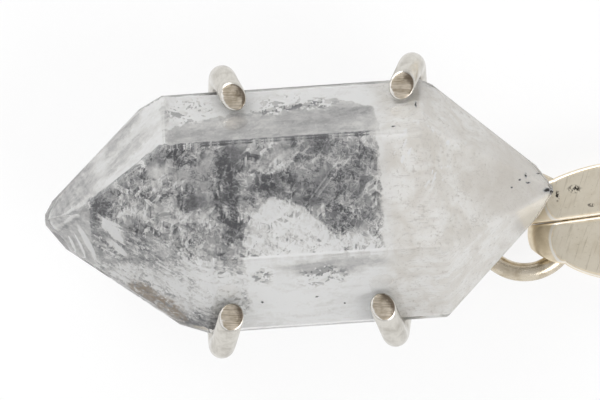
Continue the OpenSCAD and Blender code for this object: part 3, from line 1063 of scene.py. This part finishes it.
def whole_tone(s, soft, splinters):
    """Tone of the unbroken parts, with smears, some glitter and the lines of the left tip."""
    tip_part = s.remap(s.along, TIP_END + 0.7, TIP_END - 0.7)
    lines = s.noise(s.coordinates(CRYSTAL_TURN + TIP_LINE_TURN, ALONG_TIP_LINE), 1.0, detail=3, roughness=0.5)
    smears = s.noise(s.coordinates(CRYSTAL_TURN, ALONG_SMEAR), 1.0, detail=6, roughness=0.62, distortion=0.6)
    glitter = s.most([s.oval(s.ragged, *place) for place in GLITTERING])
    glitter = s.remap(glitter, 0, 1, 0.15, 1.4)
    base = s.remap(tip_part, 0, 1, CLOUD_TONE, TIP_TONE)
    return s.total(soft, [(s.times(splinters, glitter), 1.0), (s.centred(smears), 0.7),
                          (base, 1.0), (s.times(s.centred(lines), tip_part), 0.6)])


def stain_share(s):
    """Rusty stain in broken spots."""
    stained = s.most([s.oval(s.ragged, *stain) for stain in STAINS])
    stained = s.times(stained, s.remap(s.wisps, 0.36, 0.46))
    spots = s.noise(s.mixed_up, 3.2)
    return s.times(stained, s.remap(spots, 0.38, 0.5))


def milky_colour(s):
    """Milky white with dashes, pits, faint creases and a few glints, painted shade on the lower face by the tip,
    and duller towards the tip.
    """
    dashes = s.noise(s.coordinates(CRYSTAL_TURN, ALONG_DASH), 2.6)
    pits = s.noise(s.point, 5.0, roughness=0.65)
    creases = s.times(s.creases(s.mixed_up, 0.8, 0.02, move=21.0), s.remap(s.wisps, 0.5, 0.6))
    glints = s.times(s.remap(s.splinters(*GLINTS), 0.94, 0.97), s.oval(s.ragged, *GLINTING))
    milky = s.mix(s.remap(s.clouds, 0.32, 0.68), MILK_DULL, MILK_WHITE)
    milky = s.tint(milky, MILK_DASH, s.remap(dashes, 0.55, 0.68), weight=0.45)
    milky = s.tint(milky, MILK_PIT, s.remap(pits, 0.55, 0.68), weight=0.5)
    milky = s.tint(milky, MILK_CREASE, creases, weight=0.7)
    milky = s.mix(glints, milky, CLEAR)
    # painted shade on the lower face by the right tip
    milky = s.tint(milky, MILK_PAINTED_SHADE, s.oval(s.point, *PAINTED_SHADE_BY_TIP), weight=0.7)
    return s.tint(milky, MILK_END, s.oval(s.ragged, *DULL_END), weight=0.6)


def heart_material():
    """Quartz broken inside, in slate, grey and frosty zones with sparkles, and milky at the right end; the slate
    is painted dark reflection and the sparkles are painted glints.
    """
    s = HeartShader("fractured_quartz")
    front = s.area(s.warp(s.flat, 3.0, reach=0.08), BROKEN_FRONT, 0.04)
    front = s.times(front, s.remap(s.along, BROKEN_TO + 0.1, BROKEN_TO - 0.1))
    corner_part = s.area(s.ragged, BROKEN_CORNER, 0.15)
    broken = s.math("MAXIMUM", front, corner_part)
    milky_part = s.remap(s.along, MILKY_FROM - 0.8, MILKY_FROM + 0.8)

    # painted glints and dark reflections of the splinters
    splinters = splinter_reflection_tone(s)
    shards = s.centred(s.cells(s.mixed_up, 0.9))
    soft = soft_tone(s)
    cracked = broken_tone(s, soft, splinters, shards, corner_part)
    whole = whole_tone(s, soft, splinters)
    tone = s.add("ShaderNodeMix", {0: broken, 2: whole, 3: cracked}, data_type="FLOAT")
    grey = s.tint(s.ramp(tone, GREYS), RUST, stain_share(s), weight=0.9)
    colour = s.mix(milky_part, grey, milky_colour(s))
    relief = s.times(s.total(s.wisps, [(shards, 0.3)]), broken)
    return s.principled(Base_Color=colour, Roughness=HEART_ROUGHNESS, IOR=HEART_IOR,
                        Normal=s.bump(relief, distance=0.1, strength=0.4))


def step(low, high, value):
    """Smooth rise from nought at low to one at high."""
    t = min(1.0, max(0.0, (value - low) / (high - low)))
    return t * t * (3 - 2 * t)


def inside_area(x, y, corners):
    """Distance of a point from the nearest side of a convex area, negative outside it."""
    near = math.inf
    for (ax, ay), (bx, by) in zip(corners, corners[1:] + corners[:1]):
        length = math.hypot(bx - ax, by - ay)
        near = min(near, ((x - ax) * (by - ay) - (y - ay) * (bx - ax)) / length)
    return near


def zone_share(x, y, place, radii, turn):
    """One at the middle of an oval zone and nought outside it."""
    a = math.radians(turn)
    dx, dy = x - place[0], y - place[1]
    along = (dx * math.cos(a) + dy * math.sin(a)) / radii[0]
    across = (dy * math.cos(a) - dx * math.sin(a)) / radii[1]
    return max(0.0, 1 - math.hypot(along, across))


def shard_move(p):
    """Height of a tilted shard of the broken quartz at a point."""
    centre = noise.voronoi(p)[1][0]
    tilt = noise.noise_vector(centre * TILT_CLOSENESS)
    return tilt.dot(p - centre) + SHARD_LIFT * tilt.z


def heart_block():
    """Heart's solid along the crystal's axis, in even small faces."""
    mesh = frame["nodes"]["crystal_heart"].data.copy()
    back = Matrix.Translation((0, 0, -AXIS_Z)) @ Matrix.Rotation(-CRYSTAL_TURN, 4, "Z")
    mesh.transform(back @ Matrix.Scale(1 / MM, 4))
    rough = bpy.data.objects.new("heart_block", mesh)
    scene.collection.objects.link(rough)
    remesh = rough.modifiers.new("even", "REMESH")
    remesh.mode = "VOXEL"
    remesh.voxel_size = HEART_VOXEL
    bpy.context.view_layer.update()
    mesh = bpy.data.meshes.new_from_object(rough.evaluated_get(bpy.context.evaluated_depsgraph_get()))
    bpy.data.objects.remove(rough)
    block = bmesh.new()
    block.from_mesh(mesh)
    block.normal_update()
    return block


def heart_move(p, normal):
    """Way that a point of the heart moves: out at the crystal's ends, in where the quartz is broken."""
    stray = noise.noise_vector(p * STRAY_CLOSENESS) * STRAY
    x, y = p.x + stray.x, p.y + stray.y
    inside = max(min(inside_area(x, y, BROKEN_FRONT), BROKEN_TO - x), inside_area(x, y, BROKEN_CORNER))
    sink = sum(-change * zone_share(p.x, p.y, place, radii, turn)
               for place, radii, turn, change in ZONES if change < 0)
    shards = sum(height * shard_move(p * closeness) for height, closeness in SHARDS)
    crinkle = CRINKLE * noise.fractal(p * CRINKLE_CLOSENESS, *CRINKLE_OCTAVES)
    depth = step(*BREAK_EDGE, inside) * (BREAK_DEPTH + abs(shards) + crinkle + SINK * sink)
    growth = LEFT_GROWTH if normal.x < 0 else RIGHT_GROWTH
    return normal * (step(*END_LEAN, abs(normal.x)) * growth - depth)


def make_heart():
    """Cloudy and broken inside of the crystal, with its broken parts sunk and splintered."""
    block = heart_block()
    noise.seed_set(NOISE_SEED)
    moves = [heart_move(vertex.co, vertex.normal) for vertex in block.verts]
    for vertex, move in zip(block.verts, moves):
        vertex.co += move
    set_on_table(block)
    piece = bmesh_piece("crystal_inside", block, [heart_material()], True)
    finish_piece(piece, "setting", ["crystal_heart"])


make_stage()
make_silver()
make_shell()
make_heart()
